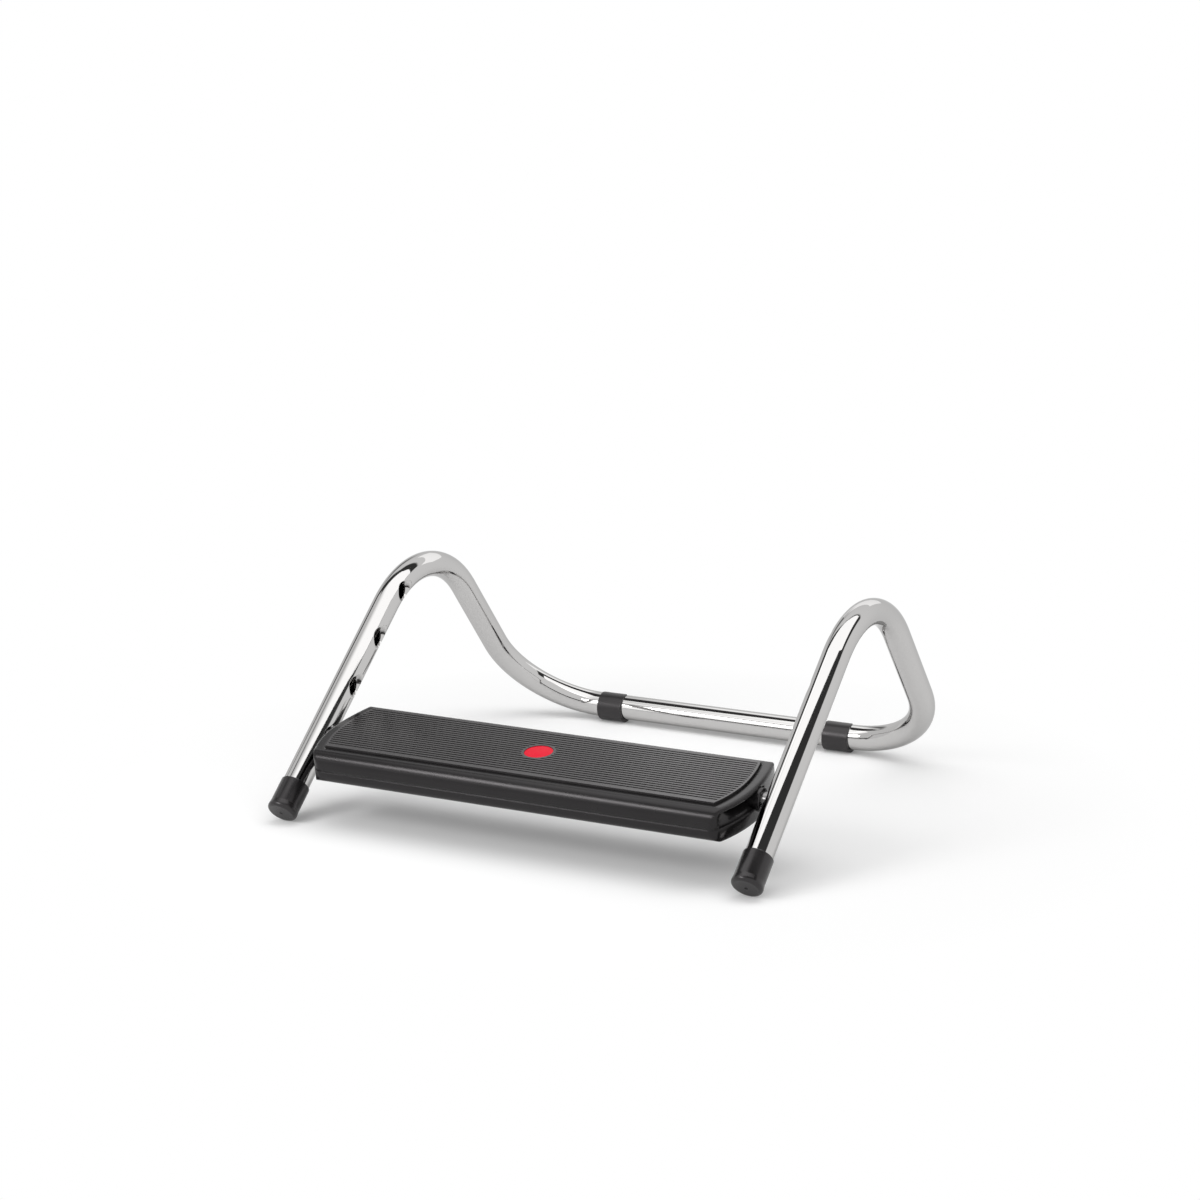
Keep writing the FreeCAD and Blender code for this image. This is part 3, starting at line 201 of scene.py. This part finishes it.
MOULDINGS = {
    "deck_plastic": {
        "colours": ((0.0075, 0.0071, 0.0073), (0.011, 0.0104, 0.0107)), "rough": (0.13, 0.2),
        "grain": 1800, "relief": (0.000004, 0.5), "edge": 0.0038, "gloss": 0.3},
    "tread_rubber": {
        "colours": ((0.014, 0.0132, 0.0135), (0.020, 0.019, 0.0194)), "rough": (0.22, 0.3),
        "grain": 2400, "relief": (0.000003, 0.5), "edge": 0, "gloss": 0.85},
    "foot_rubber": {
        "colours": ((0.008, 0.0075, 0.0078), (0.012, 0.0112, 0.0116)), "rough": (0.2, 0.3),
        "grain": 2500, "relief": (0.000006, 0.5), "edge": 0.0008, "gloss": 0.5},
    "glide_plastic": {
        "colours": ((0.010, 0.0095, 0.0098), (0.014, 0.0132, 0.0136)), "rough": (0.3, 0.4),
        "grain": 2500, "relief": (0.00001, 0.5), "edge": 0.0008, "gloss": 0.5},
    "bush_plastic": {
        "colours": ((0.009, 0.0085, 0.0088), (0.013, 0.0122, 0.0126)), "rough": (0.16, 0.24),
        "grain": 2500, "relief": (0.000006, 0.5), "edge": 0.0005, "gloss": 0.5},
}
MOULDING_CLOUDS = (18, 4)
MOULDING_PATCHES = (45, 5)
GRAIN_DETAIL = 2
WARM_GLOSS = (1.0, 0.955, 0.975, 1)

STEELS = {
    "pin_steel": {"tint": (0.24, 0.235, 0.235), "rough": (0.2, 0.34)},
    "spring_steel": {"tint": (0.45, 0.45, 0.46), "rough": (0.25, 0.4)},
    "fastener_steel": {"tint": (0.55, 0.55, 0.56), "rough": (0.28, 0.42)},
}
BRUSHING = (400, 3, (0.05, 1, 1))
BRUSHED_LIGHTER = 1.12
BRUSHED_RELIEF = (0.00005, 0.4)

DISC = {"colours": ((0.60, 0.003, 0.019), (0.65, 0.005, 0.026)), "rough": (0.4, 0.5),
        "relief": (0.00002, 0.4), "edge": 0.0004, "gloss": 0.12}
DISC_CLOUDS = (120, 3)
DISC_PATCHES = (300, 3)
DISC_GRAIN = (2200, 2)

# The middle part of the noise that carries a whole change of colour or roughness
CLOUD_SPAN = (0.35, 0.7)
PATCH_SPAN = (0.3, 0.7)


def chrome():
    made = Finish("chrome", Metallic=1.0, Specular_Tint=CHROME["rim_tint"])
    made.set("Base Color", made.blend(made.noise(*CHROME_HAZE), *CHROME["colours"]))
    made.set("Roughness", made.ramp(made.noise(*CHROME_SMEARS), *CHROME["rough"], CLOUD_SPAN))
    made.set("Normal", made.bump(made.noise(*CHROME_WAVES), CHROME["relief"], CHROME["edge"]))
    return made.material


def moulded(name, look):
    """A black moulding with a fine spark texture and patchy colour and gloss."""
    made = Finish(name, Specular_IOR_Level=look["gloss"], Specular_Tint=WARM_GLOSS)
    clouds = made.ramp(made.noise(*MOULDING_CLOUDS), 0, 1, CLOUD_SPAN)
    made.set("Base Color", made.blend(clouds, *look["colours"]))
    made.set("Roughness", made.ramp(made.noise(*MOULDING_PATCHES), *look["rough"], PATCH_SPAN))
    grain = made.noise(look["grain"], GRAIN_DETAIL)
    made.set("Normal", made.bump(grain, look["relief"], look["edge"]))
    return made.material


def steel(name, look):
    """Plain steel, brushed along the pivot axis."""
    made = Finish(name, Metallic=1.0)
    brushing = made.noise(*BRUSHING)
    lighter = tuple(BRUSHED_LIGHTER * part for part in look["tint"])
    made.set("Base Color", made.blend(brushing, look["tint"], lighter))
    made.set("Roughness", made.ramp(brushing, *look["rough"]))
    made.set("Normal", made.bump(brushing, BRUSHED_RELIEF))
    return made.material


def red_disc():
    made = Finish("red_disc", Specular_IOR_Level=DISC["gloss"])
    made.set("Base Color", made.blend(made.noise(*DISC_CLOUDS), *DISC["colours"]))
    made.set("Roughness", made.ramp(made.noise(*DISC_PATCHES), *DISC["rough"]))
    made.set("Normal", made.bump(made.noise(*DISC_GRAIN), DISC["relief"], DISC["edge"]))
    return made.material


def shade_smooth(mesh):
    for face in mesh.polygons:
        face.use_smooth = True


def dress():
    """Gives each CAD node the finish of its slot."""
    finishes = {"chrome_tube": chrome(), "disc_plastic": red_disc()}
    finishes.update({name: moulded(name, look) for name, look in MOULDINGS.items()})
    finishes.update({name: steel(name, look) for name, look in STEELS.items()})
    slots = {part["node"]: part["material_slot"] for part in frame["record"]["subparts"]}
    for node, piece in frame["nodes"].items():
        piece.data.materials.clear()
        piece.data.materials.append(finishes[slots[node]])
        shade_smooth(piece.data)
    return finishes


# The moulded scoops under the rim at the deck's ends. Their sizes along the deck's width and
# height start at the pivot axis. The deck's tilt is in degrees.

DECK_TILT = 9.0
DECK_HALF_LENGTH = 0.2135
END_RADIUS = 0.125
END_CENTRE = -0.003
SCOOP_TOP = 0.0094
SCOOP_BOTTOM = -0.0041
SCOOP_FRONT = -0.0565
SCOOP_TURN = -0.022
SCOOP_REAR = -0.0108
SCOOP_MOUTH = 0.0142
SCOOP_DEPTH = 0.0200
SCOOP_LAND = 0.0008
SCOOP_WALL = 0.0012
SCOOP_STEPS = (28, 10)


def joint(name):
    return next(entry for entry in frame["record"]["behaviour"]["joints"]
                if entry["name"] == name)


def deck_place():
    """The deck's own axes: along the pivot axis, towards the heel and up off the tread."""
    pivot = Matrix.Translation(joint("deck_tilt")["pos_m"])
    return pivot @ Matrix.Rotation(math.radians(DECK_TILT), 4, "X")


def end_outline(along):
    """How far out the deck's end reaches at a place along its width."""
    centre = DECK_HALF_LENGTH - END_RADIUS
    return centre + math.sqrt(END_RADIUS ** 2 - (along - END_CENTRE) ** 2)


def scoop_points(side):
    """Columns of points from the nose's corner to the pivot, each from the foot up to the rim."""
    columns, rows = SCOOP_STEPS
    place = deck_place()
    points = []
    for column in range(columns + 1):
        along = SCOOP_FRONT + (SCOOP_REAR - SCOOP_FRONT) * column / columns
        turn = min(1.0, (along - SCOOP_FRONT) / (SCOOP_TURN - SCOOP_FRONT))
        depth = SCOOP_MOUTH + (SCOOP_DEPTH - SCOOP_MOUTH) * math.sin(turn * math.pi / 2)
        foot = end_outline(along) - SCOOP_LAND
        head = min(DECK_HALF_LENGTH - depth, foot - SCOOP_LAND)
        for row in range(rows + 1):
            rise = row / rows
            flare = (rise + math.sin(rise * math.pi / 2)) / 2
            out = foot + (head - foot) * flare
            height = SCOOP_BOTTOM + (SCOOP_TOP - SCOOP_BOTTOM) * rise
            points.append(place @ Vector((side * out, along, height)))
    return points


def scoop_faces(side):
    """A face between each four points, turned outwards."""
    columns, rows = SCOOP_STEPS
    faces = []
    for column in range(columns):
        for row in range(rows):
            first = column * (rows + 1) + row
            corners = (first, first + rows + 1, first + rows + 2, first + 1)
            faces.append(corners if side > 0 else corners[::-1])
    return faces


def scoop(name, side, finish):
    """A curved wall that runs in from the nose's corner to the pivot and flares at its foot."""
    mesh = bpy.data.meshes.new(name)
    mesh.from_pydata(scoop_points(side), [], scoop_faces(side))
    mesh.materials.append(finish)
    shade_smooth(mesh)
    wall = add_object(name, mesh)
    wall.modifiers.new("wall", "SOLIDIFY").thickness = SCOOP_WALL
    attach(wall, "deck")


def working_spring(side):
    """A pin's spring, which on the real footrest shortens towards its fixed end as the pin is
    drawn in; here a copy of its CAD node with a mesh of its own, carried by the deck.
    """
    node = frame["nodes"]["pin_spring_" + side]
    spring = add_object("coil_spring_" + side, node.data.copy())
    spring.matrix_world = node.matrix_world
    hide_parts(node.name)
    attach(spring, "deck")
    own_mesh(spring)


# Floor: a pale matt sweep that runs out to white. The eye sees it lifted by a faint glow.

FLOOR_REACH = 30
FLOOR_DROP = 0.0002
FLOOR_COLOURS = ((0.75, 0.75, 0.75), (0.77, 0.77, 0.77))
FLOOR_CLOUDS = (0.6, 2)
FLOOR_ROUGH = 0.9
FLOOR_GLOSS = 0.1
FLOOR_GLOW = 0.1
FLOOR_FADE = (0.3, 0.5)
SWEEP_LIGHT = 0.5
WHITE = (1, 1, 1, 1)


def floor_material():
    made = Finish("floor", Roughness=FLOOR_ROUGH, Specular_IOR_Level=FLOOR_GLOSS,
                  Emission_Color=WHITE)
    made.set("Base Color", made.blend(made.noise(*FLOOR_CLOUDS), *FLOOR_COLOURS))
    seen = made.seen("Camera", "Glossy", "Transmission")
    made.set("Emission Strength", made.ramp(seen, 0.0, FLOOR_GLOW))
    distance = made.add("VectorMath", operation="LENGTH")
    made.feed(distance.inputs[0], made.add("TexCoord").outputs["Object"])
    sweep = made.add("Emission")
    made.feed(sweep.inputs["Strength"], made.ramp(seen, SWEEP_LIGHT, 1.0))
    faded = made.mix_shaders(made.ramp(distance.outputs["Value"], 0.0, 1.0, FLOOR_FADE),
                             made.shader.outputs["BSDF"], sweep.outputs["Emission"])
    made.feed(made.tree.nodes["Material Output"].inputs["Surface"], faded)
    return made.material


def make_floor():
    reach = FLOOR_REACH
    mesh = bpy.data.meshes.new("floor")
    mesh.from_pydata([(-reach, -reach, 0), (reach, -reach, 0), (reach, reach, 0),
                      (-reach, reach, 0)], [], [(0, 1, 2, 3)])
    mesh.materials.append(floor_material())
    floor = add_object("floor", mesh)
    floor.location.z = -FLOOR_DROP


# Room, square to the camera: white walls, the left one a little darker, and unlit parts that
# the chrome and the deck's rims reflect. A direction is given as its slopes from overhead, to
# the right and to the rear.

LEAST_RISE = 0.001
CEILING_ACROSS = (-0.75, 1.3)
CEILING_ALONG = (-0.53, 0.62)
CEILING_SOFT = 0.05
CEILING_SHADE = 0.05

# The gap runs from the ceiling down to the left and rear, between two slanting lines
GAP_ACROSS = (-1.6, -0.2)
GAP_START_SLANT = -0.75
GAP_START_SOFT = 0.04
GAP_END_SLANT = -0.65
GAP_END_OFFSET = 0.49
GAP_END_SOFT = 0.06

# The low wall lies behind the deck
LOW_WALL_ACROSS = (-1.2, -0.2)
LOW_WALL_ACROSS_SOFT = 0.3
LOW_WALL_ALONG = (1.35, 2.5)
LOW_WALL_ALONG_SOFT = 0.2
LOW_WALL_DARK = 0.8

# The left wall's shade, and where it starts and ends, as the sideways part of the direction
LEFT_WALL_SHADE = 0.84
LEFT_WALL_SPAN = (-0.9, -0.2)

# The room's own light, at the front and at the rear
ROOM_LIGHT = (1.0, 0.25)


def unlit_parts(nodes, direction):
    """One in the unlit ceiling, gap and low wall, and zero in the rest of the room."""
    rise = nodes.calculate("MAXIMUM", direction["Z"], LEAST_RISE)
    across = nodes.calculate("DIVIDE", direction["X"], rise)
    along = nodes.calculate("DIVIDE", direction["Y"], rise)
    ceiling = nodes.calculate("MULTIPLY", nodes.between(across, CEILING_ACROSS, CEILING_SOFT),
                              nodes.between(along, CEILING_ALONG, CEILING_SOFT))
    start = nodes.calculate("MULTIPLY", across, GAP_START_SLANT)
    end = nodes.calculate("MULTIPLY_ADD", across, GAP_END_SLANT, GAP_END_OFFSET)
    past_start = nodes.step(nodes.calculate("SUBTRACT", along, start), 0, GAP_START_SOFT)
    before_end = nodes.step(nodes.calculate("SUBTRACT", along, end), 0, GAP_END_SOFT, 1.0, 0.0)
    gap = nodes.calculate("MULTIPLY", nodes.calculate("MULTIPLY", past_start, before_end),
                          nodes.between(across, GAP_ACROSS, CEILING_SOFT))
    low_wall = nodes.calculate(
        "MULTIPLY", nodes.between(across, LOW_WALL_ACROSS, LOW_WALL_ACROSS_SOFT),
        nodes.between(along, LOW_WALL_ALONG, LOW_WALL_ALONG_SOFT))
    low_wall = nodes.calculate("MULTIPLY", low_wall, LOW_WALL_DARK)
    return nodes.calculate("MAXIMUM", nodes.calculate("MAXIMUM", ceiling, gap), low_wall)


def make_world():
    """White to the eye, the room to glossy surfaces, and a plain light to all else."""
    world = bpy.data.worlds.new("studio")
    bpy.context.scene.world = world
    world.use_nodes = True
    nodes = Nodes(world.node_tree)
    nodes.tree.nodes.clear()

    square = nodes.add("VectorRotate", rotation_type="Z_AXIS", Angle=-math.radians(AZIMUTH))
    nodes.feed(square.inputs["Vector"], nodes.add("TexCoord").outputs["Generated"])
    split = nodes.add("SeparateXYZ")
    nodes.feed(split.inputs[0], square.outputs["Vector"])
    direction = split.outputs

    def background(strength):
        node = nodes.add("Background", Color=WHITE)
        nodes.feed(node.inputs["Strength"], strength)
        return node.outputs["Background"]

    walls = nodes.ramp(direction["X"], LEFT_WALL_SHADE, 1.0, LEFT_WALL_SPAN, "SMOOTHSTEP")
    room = nodes.ramp(unlit_parts(nodes, direction), walls, CEILING_SHADE)
    light = nodes.ramp(direction["Y"], *ROOM_LIGHT, (-1.0, 1.0), "SMOOTHSTEP")
    lit = nodes.mix_shaders(nodes.seen("Glossy"), background(light), background(room))
    shown = nodes.mix_shaders(nodes.seen("Camera", "Transmission"), lit, background(1.0))
    nodes.feed(nodes.add("OutputWorld").inputs["Surface"], shown)


# Lamps, square to the camera: place and aim as right, back and up, size, and brightness

SOFTBOX = ("softbox", (0.0, -0.02, 1.15), (0.0, -0.02, 0), (2.0, 0.875), 1.75)
LAMPS = (
    ("window", (-1.4, -1.04, 0.47), (0, 0.2, 0), (0.6, 0.5), 0.9),
    ("key", (-1.08, -0.78, 0.8), (0, -0.2, 0.05), (0.7, 0.34), 8.5),
    ("rear_strip", (0.36, 0.72, 0.6), (0.1, -0.2, 0.07), (0.85, 0.3), 0.6),
)

# The softbox dims towards its left end, over this share of its length
SOFTBOX_DIM = 0.4
SOFTBOX_FADE = (0.0, 0.3)

# A lamp whose direction leans to the side more than this has its long side front to back
SIDEWAYS = 0.5


def studio_place(right, back, up):
    turn = Matrix.Rotation(math.radians(AZIMUTH), 4, "Z")
    return turn @ Vector((right, back, up))


def lamp(name, place, aim, size, level):
    """A flat lamp of the given brightness, its long side level and hidden from the camera."""
    data = bpy.data.lights.new(name, "AREA")
    data.shape = "RECTANGLE"
    data.size, data.size_y = size
    data.energy = level * math.pi * size[0] * size[1]
    light = add_object(name, data)
    back = (studio_place(*place) - studio_place(*aim)).normalized()
    level_side = studio_place(1, 0, 0)
    if abs(back.dot(level_side)) > SIDEWAYS:
        level_side = studio_place(0, 1, 0)
    side = (level_side - back * back.dot(level_side)).normalized()
    turn = Matrix((side, back.cross(side), back)).transposed().to_4x4()
    light.matrix_world = Matrix.Translation(studio_place(*place)) @ turn
    light.visible_camera = False
    return light


def fade_left(data):
    data.use_nodes = True
    nodes = Nodes(data.node_tree)
    split = nodes.add("SeparateXYZ")
    nodes.feed(split.inputs[0], nodes.add("NewGeometry").outputs["Parametric"])
    fade = nodes.ramp(split.outputs["X"], SOFTBOX_DIM, 1.0, SOFTBOX_FADE, "SMOOTHSTEP")
    nodes.feed(nodes.tree.nodes["Emission"].inputs["Strength"], fade)


def make_studio():
    make_floor()
    make_world()
    fade_left(lamp(*SOFTBOX).data)
    for entry in LAMPS:
        lamp(*entry)


bpy.context.scene.view_settings.view_transform = "Standard"
make_camera()
finishes = dress()
scoop("deck_scoop_right", 1, finishes["deck_plastic"])
scoop("deck_scoop_left", -1, finishes["deck_plastic"])
for side in ("right", "left"):
    working_spring(side)
make_studio()
